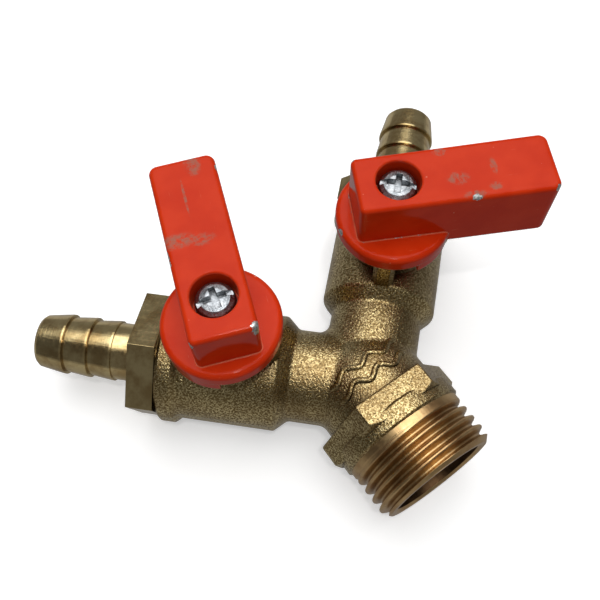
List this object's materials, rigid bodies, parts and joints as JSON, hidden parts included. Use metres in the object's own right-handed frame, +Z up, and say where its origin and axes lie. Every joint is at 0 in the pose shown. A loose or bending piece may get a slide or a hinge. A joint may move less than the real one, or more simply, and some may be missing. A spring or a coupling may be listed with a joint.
{
  "type": "three way hose valve",
  "caption": "Forged brass Y fitting with a male threaded inlet and a quarter-turn ball valve with a painted lever and a barbed hose tail on each outlet.",
  "frame": {"origin": "centre of the inlet's end face, on the inlet thread's axis", "axes": "-Y points out of the inlet, +Z is up along both stems with the levers on top, and X runs across the two outlets"},
  "size_m": [0.0854, 0.0605, 0.0384],
  "materials": {
    "forged_brass": "shot-blasted forging, dull and finely pitted",
    "machined_brass": "turned and milled, satin",
    "lever_paint": "glossy orange-red enamel, chipped at the corners",
    "zinc_plate": "bright zinc plate",
    "plated_ball": "polished",
    "ptfe": "white PTFE",
    "seal_rubber": "black nitrile"
  },
  "bodies": {
    "valve_body": {"forged_body": "forged_brass", "hose_tail_left": "machined_brass", "inner_seat_left": "ptfe", "outer_seat_left": "ptfe", "hose_tail_right": "machined_brass", "inner_seat_right": "ptfe", "outer_seat_right": "ptfe"},
    "left_lever": {"lever_left": "lever_paint", "lever_screw_left": "zinc_plate", "lock_washer_left": "zinc_plate", "stem_left": "machined_brass", "ball_left": "plated_ball", "thrust_washer_left": "ptfe", "stem_o_ring_left": "seal_rubber"},
    "right_lever": {"lever_right": "lever_paint", "lever_screw_right": "zinc_plate", "lock_washer_right": "zinc_plate", "stem_right": "machined_brass", "ball_right": "plated_ball", "thrust_washer_right": "ptfe", "stem_o_ring_right": "seal_rubber"}
  },
  "joints": [
    {"name": "left_valve_turn", "type": "hinge", "parent": "valve_body", "child": "left_lever", "pos_m": [-0.01604, 0.03459, 0], "axis": [0, 0, 1], "range_deg": [-24.2, 65.8]},
    {"name": "right_valve_turn", "type": "hinge", "parent": "valve_body", "child": "right_lever", "pos_m": [0.01604, 0.03459, 0], "axis": [0, 0, 1], "range_deg": [-18.9, 71.1]}
  ]
}
